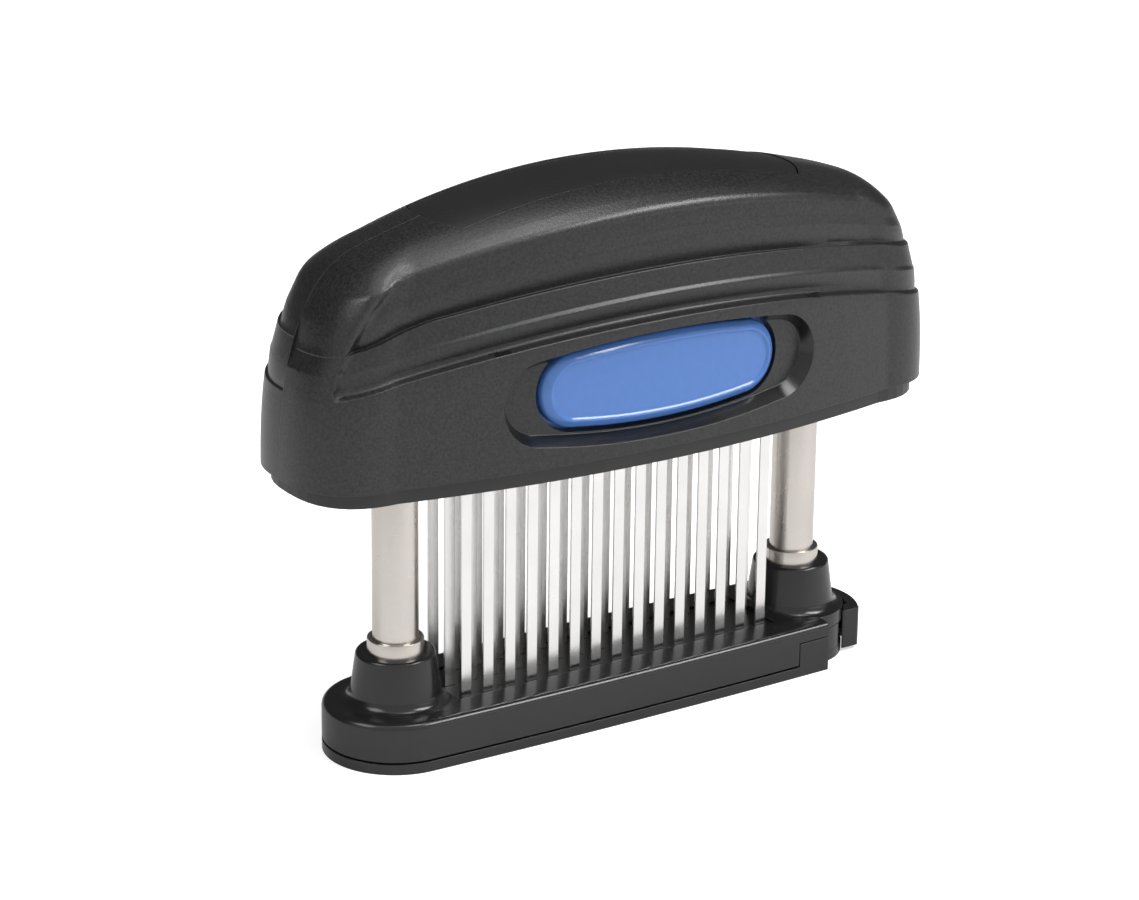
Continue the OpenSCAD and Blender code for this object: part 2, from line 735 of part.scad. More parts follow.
module blade_carrier() {
    color([0.16, 0.16, 0.17]) difference() {
        union() {
            translate([-window_x + 0.2, -window_y + 0.2, handle_z + 0.5])
                cube([2 * window_x - 0.4, 2 * window_y - 0.4, floor_t]);
            translate([-carrier_x, -carrier_y, carrier_z])
                cube([2 * carrier_x, 2 * carrier_y, carrier_top - carrier_z]);
        }
        blade_slots(seat_gap, 0, far);
        at_blades([-1, 0, 1])
            translate([-head_w / 2 - seat_gap, -blade_t / 2 - seat_gap, blade_top - head_drop - seat_gap])
                cube([head_w + 2 * seat_gap, blade_t + 2 * seat_gap, far]);
        // lightening pockets between the rows, open at the top
        for (r = [-0.5, 0.5]) translate([-window_x + 2, r * row_pitch - pocket_w / 2, carrier_z + 2])
            cube([2 * window_x - 4, pocket_w, far]);
        // guide holes of the button springs
        for (s = sides) for (x = [-bspring_x, bspring_x]) translate([x, s * carrier_y, bspring_z])
            rotate([90, 0, 0]) cylinder(r = bspring_r + bspring_wire + 0.2, h = 1.2, center = true);
    }
}

module carrier_lid() {
    color([0.16, 0.16, 0.17]) {
        translate([-carrier_x, -carrier_y, carrier_top])
            cube([2 * carrier_x, 2 * carrier_y, lid_t]);
        for (s = sides) for (x = [-catch_x, catch_x]) toward(s) translate([x - catch_w / 2, catch_y, lid_top - 0.1]) {
            cube([catch_w, catch_t, plate_z1 + 1.4 - lid_top]);
            translate([0, 0, plate_z1 + 0.3 - lid_top]) cube([catch_w, catch_len, 1.2]);
        }
    }
}

module toward(s) {
    if (s < 0) children(); else mirror([0, 1, 0]) children();
}

module blade() {
    rotate([90, 0, 0]) translate([0, 0, -blade_t / 2]) linear_extrude(blade_t)
        polygon([[-head_w / 2, blade_top], [-head_w / 2, blade_top - head_drop],
                 [-blade_w / 2, blade_top - head_drop], [-blade_w / 2, blade_bottom + blade_tip],
                 [blade_w / 2, blade_bottom], [blade_w / 2, blade_top - head_drop],
                 [head_w / 2, blade_top - head_drop], [head_w / 2, blade_top]]);
}

module blade_row(r) {
    color([0.86, 0.86, 0.86]) at_blades([r]) blade();
}

// ---------- buttons ----------

module release_button() {
    difference() {
        union() {
            intersection() {
                button_prism(button_half, button_h, -far / 4, -flange_in);
                translate([0, button_bow - button_face, 0]) cylinder(r = button_bow, h = far, $fn = 720);
            }
            button_prism(button_half + button_grow, button_h + button_grow, -pad_in + 0.05, -flange_in);
            // catch plate over the cartridge
            translate([-catch_x - 5, -flange_in - 0.1, plate_z0]) cube([2 * catch_x + 10, flange_in - 4.4, plate_z1 - plate_z0]);
        }
        // sunk face inside the rim
        difference() {
            button_prism(button_half - rim, button_h - rim, -far / 4, -flange_in - 3);
            translate([0, button_bow - button_face + rim_depth, 0])
                cylinder(r = button_bow, h = far, $fn = 720);
        }
        // windows: a press takes them clear of the lid's hooks
        for (x = [-catch_x, catch_x])
            translate([x - catch_w / 2 - 0.4, catch_y - slide_gap - button_travel, 0])
                cube([catch_w + 0.8, catch_len + 1, far]);
    }
}

module button_springs() {
    for (x = [-bspring_x, bspring_x])
        translate([x, 0, bspring_z]) rotate([90, 0, 0])
            coil(bspring_r, bspring_wire, carrier_y - 0.6 + seat_gap, flange_in - seat_gap, 4);
}

module release_button_front() {
    color([0.36, 0.50, 0.75]) release_button();
}

module release_button_rear() {
    color([0.36, 0.50, 0.75]) rotate([0, 0, 180]) release_button();
}

module button_springs_front() {
    color([0.7, 0.7, 0.72]) button_springs();
}

module button_springs_rear() {
    color([0.7, 0.7, 0.72]) rotate([0, 0, 180]) button_springs();
}

foot_body();
blade_guide();
bottom_plate();
latch_lever();
column(-1);  // column_left
column(1);  // column_right
collar(-1);  // collar_left
collar(1);  // collar_right
column_plug(-1);  // column_plug_left
column_plug(1);  // column_plug_right
column_screws();
stop_ring(-1);  // stop_ring_left
stop_ring(1);  // stop_ring_right
return_spring(-1);  // return_spring_left
return_spring(1);  // return_spring_right
handle_shell_front();
handle_shell_rear();
handle_floor();
floor_screws();
guide_bush(-1);  // guide_bush_left
guide_bush(1);  // guide_bush_right
spring_stud(-1);  // spring_stud_left
spring_stud(1);  // spring_stud_right
top_insert();
blade_carrier();
carrier_lid();
blade_row(-1);  // blade_row_front
blade_row(0);  // blade_row_middle
blade_row(1);  // blade_row_rear
release_button_front();
release_button_rear();
button_springs_front();
button_springs_rear();
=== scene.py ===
import math

import bpy
import numpy as np
from mathutils import Matrix, Vector


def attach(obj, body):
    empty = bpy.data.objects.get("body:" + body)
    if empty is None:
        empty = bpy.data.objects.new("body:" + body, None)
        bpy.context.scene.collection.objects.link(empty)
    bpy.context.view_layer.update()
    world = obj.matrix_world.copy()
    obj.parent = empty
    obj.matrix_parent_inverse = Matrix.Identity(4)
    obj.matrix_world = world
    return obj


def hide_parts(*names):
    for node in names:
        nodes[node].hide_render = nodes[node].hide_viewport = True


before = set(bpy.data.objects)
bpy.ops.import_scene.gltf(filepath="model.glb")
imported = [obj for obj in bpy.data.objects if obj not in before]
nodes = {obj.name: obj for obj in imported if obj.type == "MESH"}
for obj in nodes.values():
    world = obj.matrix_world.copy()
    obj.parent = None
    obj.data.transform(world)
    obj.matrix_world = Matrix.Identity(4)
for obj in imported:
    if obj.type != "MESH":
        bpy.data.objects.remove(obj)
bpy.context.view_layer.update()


# ---------------------------------------------------------------------------
# Studio: a camera a little above the tenderizer, seen from its left front, a
# white floor and horizon, a darker room behind, and four softbox lamps.
camera_distance, focal_px, photo_width_px, sensor_mm = 0.76, 3564.42, 1139.0, 36.0
view_azimuth, view_elevation, view_roll = (math.radians(a) for a in (-33.528, 19.452, 0.695))
aim = Vector((0.004764, 0.019462, 0.048182))
back = Vector((math.sin(view_azimuth) * math.cos(view_elevation),
               -math.cos(view_azimuth) * math.cos(view_elevation), math.sin(view_elevation)))
level = Vector((math.cos(view_azimuth), math.sin(view_azimuth), 0.0))
upright = back.cross(level)
right = math.cos(view_roll) * level + math.sin(view_roll) * upright
up = math.cos(view_roll) * upright - math.sin(view_roll) * level
camera_data = bpy.data.cameras.new("camera")
camera_data.sensor_width = sensor_mm
camera_data.lens = focal_px / photo_width_px * sensor_mm
camera_data.clip_start, camera_data.clip_end = 0.05, 20.0
camera = bpy.data.objects.new("camera", camera_data)
bpy.context.scene.collection.objects.link(camera)
stand = Matrix.Translation(aim + back * camera_distance)
camera.matrix_world = stand @ Matrix((right, up, back)).transposed().to_4x4()
bpy.context.scene.camera = camera
bpy.context.scene.view_settings.view_transform = "Standard"

world = bpy.data.worlds.new("studio")
bpy.context.scene.world = world
world.use_nodes = True
sky, join_sky = world.node_tree.nodes, world.node_tree.links.new
sky.clear()
sky_out = sky.new("ShaderNodeOutputWorld")
sky_place = sky.new("ShaderNodeTexCoord")
sky_axes = sky.new("ShaderNodeSeparateXYZ")
join_sky(sky_place.outputs["Generated"], sky_axes.inputs[0])
# Bright in front and to the left, dark behind, pale again overhead
sky_facing = sky.new("ShaderNodeVectorMath")
sky_facing.operation = "DOT_PRODUCT"
sky_facing.inputs[1].default_value = (-0.26, -0.966, 0.0)
join_sky(sky_place.outputs["Generated"], sky_facing.inputs[0])
sky_front = sky.new("ShaderNodeMapRange")
sky_front.interpolation_type = "SMOOTHSTEP"
sky_front.inputs["From Min"].default_value, sky_front.inputs["From Max"].default_value = -0.2, 0.3
sky_front.inputs["To Min"].default_value, sky_front.inputs["To Max"].default_value = 0.08, 0.78
join_sky(sky_facing.outputs["Value"], sky_front.inputs["Value"])
sky_high = sky.new("ShaderNodeMapRange")
sky_high.interpolation_type = "SMOOTHSTEP"
sky_high.inputs["From Min"].default_value, sky_high.inputs["From Max"].default_value = 0.85, 1.0
sky_high.inputs["To Min"].default_value, sky_high.inputs["To Max"].default_value = 0.0, 2.0
join_sky(sky_axes.outputs["Z"], sky_high.inputs["Value"])
sky_level = sky.new("ShaderNodeMath")
sky_level.operation = "MAXIMUM"
join_sky(sky_front.outputs["Result"], sky_level.inputs[0])
join_sky(sky_high.outputs["Result"], sky_level.inputs[1])
sky_soft = sky.new("ShaderNodeBackground")
join_sky(sky_level.outputs["Value"], sky_soft.inputs["Strength"])
sky_soft.inputs["Color"].default_value = (1.0, 1.0, 1.0, 1.0)
sky_white = sky.new("ShaderNodeBackground")
sky_white.inputs["Color"].default_value = (1.0, 1.0, 1.0, 1.0)
sky_path = sky.new("ShaderNodeLightPath")
sky_mix = sky.new("ShaderNodeMixShader")
join_sky(sky_path.outputs["Is Camera Ray"], sky_mix.inputs["Fac"])
join_sky(sky_soft.outputs[0], sky_mix.inputs[1])
join_sky(sky_white.outputs[0], sky_mix.inputs[2])
join_sky(sky_mix.outputs[0], sky_out.inputs["Surface"])


def lamp(name, bearing, height, distance, size, brightness):
    """A softbox lamp, placed by its bearing and height in degrees, turned to the tenderizer."""
    turn, rise = math.radians(bearing), math.radians(height)
    middle = Vector((0.0, 0.0, 0.08))
    data = bpy.data.lights.new(name, "AREA")
    data.shape, data.size, data.size_y = "RECTANGLE", size[0], size[1]
    data.energy = brightness * math.pi * size[0] * size[1]
    holder = bpy.data.objects.new(name, data)
    bpy.context.scene.collection.objects.link(holder)
    out = Vector((math.sin(turn) * math.cos(rise), -math.cos(turn) * math.cos(rise), math.sin(rise)))
    holder.location = middle + out * distance
    holder.rotation_euler = (-out).to_track_quat("-Z", "Y").to_euler()


lamp("shoulder_softbox", 50.0, 47.0, 1.0, (0.60, 0.20), 14.0)
lamp("top_softbox", 45.0, 73.0, 1.0, (0.40, 0.26), 6.5)
lamp("left_softbox", -92.0, 44.0, 1.0, (0.44, 0.44), 4.0)
lamp("front_strip", 38.0, 10.0, 1.1, (0.75, 0.12), 1.6)

floor_size = 6.0
bpy.ops.object.select_all(action="DESELECT")
bpy.ops.mesh.primitive_plane_add(size=floor_size, location=(0.0, 0.0, -0.00005))
studio_floor = bpy.context.object
studio_floor.name = "studio_floor"
paper = bpy.data.materials.new("studio_paper")
paper.use_nodes = True
paper_nodes = paper.node_tree.nodes
paper_nodes.clear()
paper_out = paper_nodes.new("ShaderNodeOutputMaterial")
paper_face = paper_nodes.new("ShaderNodeBsdfPrincipled")
paper_face.inputs["Base Color"].default_value = (0.84, 0.84, 0.84, 1.0)
paper_face.inputs["Roughness"].default_value = 0.9
paper_glow = paper_nodes.new("ShaderNodeEmission")
paper_glow.inputs["Strength"].default_value = 0.55
paper_rays = paper_nodes.new("ShaderNodeLightPath")
paper_add = paper_nodes.new("ShaderNodeAddShader")
paper_dark = paper_nodes.new("ShaderNodeEmission")
paper_dark.inputs["Strength"].default_value = 0.0
paper_pick = paper_nodes.new("ShaderNodeMixShader")
paper.node_tree.links.new(paper_rays.outputs["Is Camera Ray"], paper_pick.inputs["Fac"])
paper.node_tree.links.new(paper_dark.outputs[0], paper_pick.inputs[1])
paper.node_tree.links.new(paper_glow.outputs[0], paper_pick.inputs[2])
paper.node_tree.links.new(paper_face.outputs[0], paper_add.inputs[0])
paper.node_tree.links.new(paper_pick.outputs[0], paper_add.inputs[1])
paper.node_tree.links.new(paper_add.outputs[0], paper_out.inputs["Surface"])
studio_floor.data.materials.append(paper)


# ---------------------------------------------------------------------------
# Foot: one gloss black moulding, a deck with a boss for each column, hollow below.
# Its right end is cut back to a round nose that the latch turns about.
def sheet_through(name, rows, round_about=False):
    """A grid primitive laid through rows of points in millimetres, its open ends filled."""
    rows = np.asarray(rows, dtype=float) / 1000.0
    if round_about:
        rows = np.concatenate([rows, rows[:, :1]], axis=1)
    count, wide = rows.shape[:2]
    bpy.ops.object.select_all(action="DESELECT")
    bpy.ops.mesh.primitive_grid_add(x_subdivisions=wide - 1, y_subdivisions=count - 1, size=0.1)
    piece = bpy.context.object
    piece.name = piece.data.name = name
    piece.data.vertices.foreach_set("co", rows.reshape(-1))
    piece.data.update()
    bpy.ops.object.mode_set(mode="EDIT")
    bpy.ops.mesh.select_mode(type="VERT")
    bpy.ops.mesh.select_all(action="SELECT")
    bpy.ops.mesh.remove_doubles(threshold=0.0000005)
    bpy.ops.mesh.select_all(action="SELECT")
    bpy.ops.mesh.fill_holes(sides=0)
    bpy.ops.mesh.select_all(action="SELECT")
    bpy.ops.mesh.normals_make_consistent(inside=False)
    bpy.ops.mesh.select_all(action="DESELECT")
    bpy.ops.object.mode_set(mode="OBJECT")
    return piece


def carve(piece, tool, how="DIFFERENCE"):
    """Cuts, joins or trims a piece with a tool piece, which is then thrown away."""
    cut = piece.modifiers.new("carve", "BOOLEAN")
    cut.operation, cut.object, cut.solver = how, tool, "EXACT"
    bpy.ops.object.select_all(action="DESELECT")
    piece.select_set(True)
    bpy.context.view_layer.objects.active = piece
    bpy.ops.object.modifier_apply(modifier=cut.name)
    bpy.data.objects.remove(tool, do_unlink=True)


def block(name, low, high):
    """A box between two corners in millimetres."""
    bpy.ops.object.select_all(action="DESELECT")
    bpy.ops.mesh.primitive_cube_add(size=1.0)
    piece = bpy.context.object
    piece.name = name
    for corner in piece.data.vertices:
        corner.co = [(h if c > 0 else l) / 1000.0 for c, l, h in zip(corner.co, low, high)]
    return piece


def turned(name, profile, x=0.0, y=0.0, around=128):
    """A closed profile of radii and heights, turned about an upright axis."""
    turn = np.linspace(0.0, 2.0 * math.pi, around, endpoint=False)
    rows = [[(x + r * math.cos(a), y + r * math.sin(a), z) for a in turn] for r, z in profile]
    return sheet_through(name, rows, round_about=True)


def settle(piece, body, *stands_for, slot=None, smooth=35.0):
    """Shades a finished piece, ties it to its body and hides the nodes it stands for."""
    bpy.ops.object.select_all(action="DESELECT")
    piece.select_set(True)
    bpy.context.view_layer.objects.active = piece
    bpy.ops.object.shade_smooth_by_angle(angle=math.radians(smooth))
    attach(piece, body)
    if stands_for:
        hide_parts(*stands_for)


def edge_soften():
    """Group: the normal at small moulded radii, and a mask of the edges."""
    group = bpy.data.node_groups.new("edge_soften", "ShaderNodeTree")
    group.interface.new_socket("Radius", in_out="INPUT", socket_type="NodeSocketFloat")
    group.interface.new_socket("Normal", in_out="OUTPUT", socket_type="NodeSocketVector")
    group.interface.new_socket("Edge", in_out="OUTPUT", socket_type="NodeSocketFloat")
    make, link = group.nodes.new, group.links.new
    put, take = make("NodeGroupInput"), make("NodeGroupOutput")
    bevel = make("ShaderNodeBevel")
    bevel.samples = 6
    geometry = make("ShaderNodeNewGeometry")
    dot = make("ShaderNodeVectorMath")
    dot.operation = "DOT_PRODUCT"
    spread = make("ShaderNodeMapRange")
    spread.inputs["From Min"].default_value, spread.inputs["From Max"].default_value = 0.99, 0.75
    link(put.outputs["Radius"], bevel.inputs["Radius"])
    link(bevel.outputs["Normal"], dot.inputs[0])
    link(geometry.outputs["Normal"], dot.inputs[1])
    link(dot.outputs["Value"], spread.inputs["Value"])
    link(bevel.outputs["Normal"], take.inputs["Normal"])
    link(spread.outputs["Result"], take.inputs["Edge"])
    return group


edge_soften_group = edge_soften()


def moulded_grain():
    """Group: the fine grain of a moulding, as a bumped normal, a speckle and a slow drift."""
    group = bpy.data.node_groups.new("moulded_grain", "ShaderNodeTree")
    group.interface.new_socket("Scale", in_out="INPUT", socket_type="NodeSocketFloat")
    group.interface.new_socket("Depth", in_out="INPUT", socket_type="NodeSocketFloat")
    group.interface.new_socket("Normal", in_out="INPUT", socket_type="NodeSocketVector")
    group.interface.new_socket("Normal", in_out="OUTPUT", socket_type="NodeSocketVector")
    group.interface.new_socket("Speckle", in_out="OUTPUT", socket_type="NodeSocketFloat")
    group.interface.new_socket("Drift", in_out="OUTPUT", socket_type="NodeSocketFloat")
    make, link = group.nodes.new, group.links.new
    put, take = make("NodeGroupInput"), make("NodeGroupOutput")
    place = make("ShaderNodeTexCoord")
    pits = make("ShaderNodeTexNoise")
    pits.inputs["Detail"].default_value = 3.0
    pits.inputs["Roughness"].default_value = 0.6
    drift = make("ShaderNodeTexNoise")
    drift.inputs["Scale"].default_value = 38.0
    drift.inputs["Detail"].default_value = 4.0
    bump = make("ShaderNodeBump")
    bump.inputs["Strength"].default_value = 1.0
    link(place.outputs["Object"], pits.inputs["Vector"])
    link(place.outputs["Object"], drift.inputs["Vector"])
    link(put.outputs["Scale"], pits.inputs["Scale"])
    link(put.outputs["Depth"], bump.inputs["Distance"])
    link(pits.outputs["Fac"], bump.inputs["Height"])
    link(put.outputs["Normal"], bump.inputs["Normal"])
    link(bump.outputs["Normal"], take.inputs["Normal"])
    link(pits.outputs["Fac"], take.inputs["Speckle"])
    link(drift.outputs["Fac"], take.inputs["Drift"])
    return group


moulded_grain_group = moulded_grain()


def moulded_plastic(name, colour, roughness, grain, depth, radius=0.0003, edge_highlight_paint=0.02, fleck=0.06):
    """Moulded plastic: grain, a slow drift of its gloss, softened edges, and a painted highlight that makes the
    edges paler.
    """
    material = bpy.data.materials.new(name)
    material.use_nodes = True
    make, link = material.node_tree.nodes.new, material.node_tree.links.new
    face = material.node_tree.nodes["Principled BSDF"]
    face.inputs["IOR"].default_value = 1.5
    edge = make("ShaderNodeGroup")
    edge.node_tree = edge_soften_group
    edge.inputs["Radius"].default_value = radius
    grain_node = make("ShaderNodeGroup")
    grain_node.node_tree = moulded_grain_group
    grain_node.inputs["Scale"].default_value = grain
    grain_node.inputs["Depth"].default_value = depth
    link(edge.outputs["Normal"], grain_node.inputs["Normal"])
    link(grain_node.outputs["Normal"], face.inputs["Normal"])
    speck = make("ShaderNodeMapRange")
    speck.inputs["From Min"].default_value, speck.inputs["From Max"].default_value = 0.35, 0.65
    link(grain_node.outputs["Speckle"], speck.inputs["Value"])
    body = make("ShaderNodeMix")
    body.data_type = "RGBA"
    body.inputs["A"].default_value = (*[c * (1 - fleck) for c in colour], 1.0)
    body.inputs["B"].default_value = (*[c * (1 + fleck) for c in colour], 1.0)
    link(speck.outputs["Result"], body.inputs["Factor"])
    tone = make("ShaderNodeMix")
    tone.data_type = "RGBA"
    link(body.outputs["Result"], tone.inputs["A"])
    # painted highlight: the edges get the colour plus edge_highlight_paint, paler than the face
    tone.inputs["B"].default_value = (*[c + edge_highlight_paint for c in colour], 1.0)
    link(edge.outputs["Edge"], tone.inputs["Factor"])
    link(tone.outputs["Result"], face.inputs["Base Color"])
    gloss = make("ShaderNodeMapRange")
    gloss.inputs["From Min"].default_value, gloss.inputs["From Max"].default_value = 0.3, 0.7
    gloss.inputs["To Min"].default_value = roughness * 0.86
    gloss.inputs["To Max"].default_value = roughness * 1.14
    link(grain_node.outputs["Drift"], gloss.inputs["Value"])
    link(gloss.outputs["Result"], face.inputs["Roughness"])
    return material


def dress(material, *names):
    """Puts a material on CAD nodes or pieces."""
    for name in names:
        thing = nodes[name] if isinstance(name, str) else name
        if not thing.material_slots:
            thing.data.materials.append(material)
        for place in thing.material_slots:
            place.material = material


# Its outline is bowed on the long sides and round at both ends, with a rolled shoulder
column_x, foot_half, foot_end_r, deck_z, foot_base_z = 50.0, 16.0, 15.2, 10.8, 2.5
foot_bow_d = foot_half - foot_end_r
foot_bow = (column_x ** 2 + foot_bow_d ** 2) / (2 * foot_bow_d)


def foot_row(inset, z):
    """The foot's outline, drawn in by an inset."""
    ends = [(column_x + (foot_end_r - inset) * math.cos(a), (foot_end_r - inset) * math.sin(a))
            for a in np.linspace(-math.pi / 2, math.pi / 2, 33)]
    side = [(x, foot_half - inset - x * x / (2 * foot_bow))
            for x in np.linspace(column_x, -column_x, 29)[1:-1]]
    half = ends + side
    return [(x, y, z) for x, y in half] + [(-x, -y, z) for x, y in half]


shoulder_r = 1.5
foot_rows = [foot_row(0.25, foot_base_z), foot_row(0.0, foot_base_z + 0.25)]
foot_rows += [foot_row(shoulder_r * (1 - math.cos(a)), deck_z - shoulder_r * (1 - math.sin(a)))
              for a in np.linspace(0.0, math.pi / 2, 9)]
foot_body = sheet_through("foot_moulding", foot_rows, round_about=True)
carve(foot_body, block("hollow_under_the_deck", (-38.4, -13.0, 0.0), (38.4, 13.0, 7.8)))
# The right end is cut back to a round nose that stands clear of the latch.
nose_r, nose_z, cut_x = 11.6, 7.7, 49.6
end_cut = block("end_cut", (cut_x, -30.0, -1.0), (90.0, 30.0, 40.0))
carve(end_cut, turned("nose", [(nose_r, nose_z), (nose_r, 60.0)], column_x))
carve(end_cut, turned("nose_hollow", [(nose_r, -1.0), (nose_r, nose_z)], column_x), "UNION")
carve(foot_body, end_cut)
boss_z, boss_r, boss_base_r, boss_fillet = 21.2, 8.2, 9.3, 2.4
lean = math.atan2(boss_base_r - boss_r, boss_z - deck_z - boss_fillet)
boss_curve = [(boss_base_r + boss_fillet * (1 - math.sin(a)), deck_z + boss_fillet * (1 - math.cos(a)))
              for a in np.linspace(0.0, math.pi / 2 - lean, 11)]
boss_curve += [(boss_r + 0.09 - 0.8 * (1 - math.cos(a)), boss_z - 0.8 * (1 - math.sin(a)))
               for a in np.linspace(lean, math.pi / 2, 8)]
for x in (-column_x, column_x):
    carve(foot_body, turned("boss", [(boss_curve[0][0], 7.8)] + boss_curve, x), "UNION")
carve(foot_body, turned("latch_journal", [(5.2, 2.4), (5.2, 9.0)], column_x, around=96), "UNION")
column_hole = [(4.78, 7.9), (4.78, 18.2), (5.89, 18.2), (5.89, 30.0)]
column_screw_hole = [(3.1, -1.0), (3.1, 4.8), (1.6, 4.8), (1.6, 9.0)]
for x in (-column_x, column_x):
    carve(foot_body, turned("column_hole", column_hole, x))
    carve(foot_body, turned("screw_hole", column_screw_hole, x, around=48))
for y in (-1, 1):
    low, high = sorted((y * 12.7, y * 20.0))
    carve(foot_body, block("corner_pocket", (41.5, low, -1.0), (49.9, high, 7.9)))
carve(foot_body, block("tongue_pocket", (-62.8, -4.0, 0.0), (-61.2, 4.0, 4.7)))
carve(foot_body, block("guide_seat", (-39.89, -8.27, 8.8), (39.89, 8.27, 20.0)))
carve(foot_body, block("guide_window", (-38.87, -7.25, 0.0), (38.87, 7.25, 12.0)))
foot_black = moulded_plastic("foot_black", (0.012, 0.012, 0.013), 0.19, 900.0, 0.000003)
dress(foot_black, "foot_body", foot_body)
settle(foot_body, "foot", "foot_body", slot="foot_black", smooth=32.0)


# ---------------------------------------------------------------------------
# Blade guide, bottom plate and latch: black mouldings that snap into and under the
# foot, in the shapes of their CAD solids, with the grain and softened edges of the mould.
guide_black = moulded_plastic("guide_black", (0.010, 0.010, 0.011), 0.30, 900.0, 0.000004)
dress(guide_black, "blade_guide")
dress(foot_black, "bottom_plate", "latch_lever")


# ---------------------------------------------------------------------------
# Columns: two tubes of drawn steel, held to the foot by a screw from below, with
# their ends chamfered and burnished.
def drawn_steel(name, colour, roughness, along=(1.0, 1.0, 0.02), lines=9000.0):
    """Steel with fine drawing lines, and a slow drift of its polish."""
    material = bpy.data.materials.new(name)
    material.use_nodes = True
    make, link = material.node_tree.nodes.new, material.node_tree.links.new
    face = material.node_tree.nodes["Principled BSDF"]
    face.inputs["Metallic"].default_value = 1.0
    place = make("ShaderNodeTexCoord")
    stretch = make("ShaderNodeMapping")
    stretch.inputs["Scale"].default_value = along
    link(place.outputs["Object"], stretch.inputs["Vector"])
    scratch = make("ShaderNodeTexNoise")
    scratch.inputs["Scale"].default_value = lines
    scratch.inputs["Detail"].default_value = 2.0
    link(stretch.outputs["Vector"], scratch.inputs["Vector"])
    drift = make("ShaderNodeTexNoise")
    drift.inputs["Scale"].default_value = 90.0
    drift.inputs["Detail"].default_value = 3.0
    link(place.outputs["Object"], drift.inputs["Vector"])
    edge = make("ShaderNodeGroup")
    edge.node_tree = edge_soften_group
    edge.inputs["Radius"].default_value = 0.0002
    bump = make("ShaderNodeBump")
    bump.inputs["Distance"].default_value = 0.0000015
    link(scratch.outputs["Fac"], bump.inputs["Height"])
    link(edge.outputs["Normal"], bump.inputs["Normal"])
    link(bump.outputs["Normal"], face.inputs["Normal"])
    tone = make("ShaderNodeMix")
    tone.data_type = "RGBA"
    tone.inputs["A"].default_value = (*[c * 0.86 for c in colour], 1.0)
    tone.inputs["B"].default_value = (*[min(1.0, c * 1.1) for c in colour], 1.0)
    link(drift.outputs["Fac"], tone.inputs["Factor"])
    link(tone.outputs["Result"], face.inputs["Base Color"])
    gloss = make("ShaderNodeMapRange")
    gloss.inputs["From Min"].default_value, gloss.inputs["From Max"].default_value = 0.3, 0.7
    gloss.inputs["To Min"].default_value = roughness * 0.8
    gloss.inputs["To Max"].default_value = roughness * 1.25
    link(drift.outputs["Fac"], gloss.inputs["Value"])
    link(gloss.outputs["Result"], face.inputs["Roughness"])
    return material


tube_r, bore_r, tube_foot, tube_head = 4.76, 3.86, 7.9, 68.8
tube = [(bore_r, tube_foot), (tube_r - 0.16, tube_foot), (tube_r, tube_foot + 0.16), (tube_r, tube_head - 0.3),
        (tube_r - 0.06, tube_head - 0.1), (tube_r - 0.26, tube_head), (bore_r, tube_head), (bore_r, tube_foot)]
column_steel = drawn_steel("column_steel", (0.62, 0.58, 0.54), 0.26)
for side_name, x in (("left", -column_x), ("right", column_x)):
    column = turned("steel_column_" + side_name, tube, x, around=160)
    dress(column_steel, "column_" + side_name, column)
    settle(column, "foot", "column_" + side_name, slot="column_steel", smooth=40.0)


# ---------------------------------------------------------------------------
# Collars: turned steel rings with rounded brows, pressed on each column where it
# leaves its boss.
collar_bore, collar_r, collar_foot, collar_head = 4.78, 5.87, 18.2, 24.2
collar_ring = [(collar_bore, collar_foot), (collar_r, collar_foot), (collar_r, collar_head - 0.35),
               (collar_r - 0.1, collar_head - 0.1), (collar_r - 0.35, collar_head),
               (collar_bore + 0.17, collar_head), (collar_bore, collar_head - 0.15), (collar_bore, collar_foot)]
collar_steel = drawn_steel("collar_steel", (0.60, 0.56, 0.52), 0.22, along=(1.0, 1.0, 60.0), lines=300.0)
for side_name, x in (("left", -column_x), ("right", column_x)):
    collar = turned("steel_collar_" + side_name, collar_ring, x, around=128)
    dress(collar_steel, "collar_" + side_name, collar)
    settle(collar, "foot", "collar_" + side_name, slot="collar_steel", smooth=40.0)


# ---------------------------------------------------------------------------
# Fixings and springs: steel plugs, screws, stop rings and studs in and on the columns,
# the coils inside them, and the two small coils behind each button.
hardware_steel = drawn_steel("hardware_steel", (0.55, 0.55, 0.56), 0.35)
spring_steel = drawn_steel("spring_steel", (0.6, 0.6, 0.62), 0.25)
dress(hardware_steel, "column_plug_left", "column_plug_right", "column_screws", "stop_ring_left",
      "stop_ring_right", "floor_screws", "spring_stud_left", "spring_stud_right")
dress(spring_steel, "return_spring_left", "return_spring_right", "button_springs_front", "button_springs_rear")


# ---------------------------------------------------------------------------
# Blades: 45 strips of bright ground steel in three rows, their tips cut on a slant.
blade_steel = drawn_steel("blade_steel", (0.82, 0.81, 0.80), 0.22)
dress(blade_steel, "blade_row_front", "blade_row_middle", "blade_row_rear")


# ---------------------------------------------------------------------------
# Handle: two black shells from one mould, the rear one turned half round. A smooth
# skirt, a finger groove under a ridge, and a grained arch for the palm.
def saw(piece, point, facing):
    """Cuts a closed piece off flat and keeps what lies behind the blade."""
    bpy.ops.object.select_all(action="DESELECT")
    piece.select_set(True)
    bpy.context.view_layer.objects.active = piece
    bpy.ops.object.mode_set(mode="EDIT")
    bpy.ops.mesh.select_all(action="SELECT")
    bpy.ops.mesh.bisect(plane_co=[p / 1000.0 for p in point], plane_no=facing, use_fill=True,
                        clear_outer=True, clear_inner=False, threshold=0.0000001)
    bpy.ops.mesh.select_all(action="DESELECT")
    bpy.ops.object.mode_set(mode="OBJECT")


def turned_half_round(piece, name):
    """The same moulding again, turned half round about the upright axis."""
    twin = piece.copy()
    twin.data = piece.data.copy()
    twin.name = twin.data.name = name
    bpy.context.scene.collection.objects.link(twin)
    twin.data.transform(Matrix.Rotation(math.pi, 4, "Z"))
    return twin


tip_x, half_y, end_from, corner_from = 76.4, 24.0, 60.6, 57.8
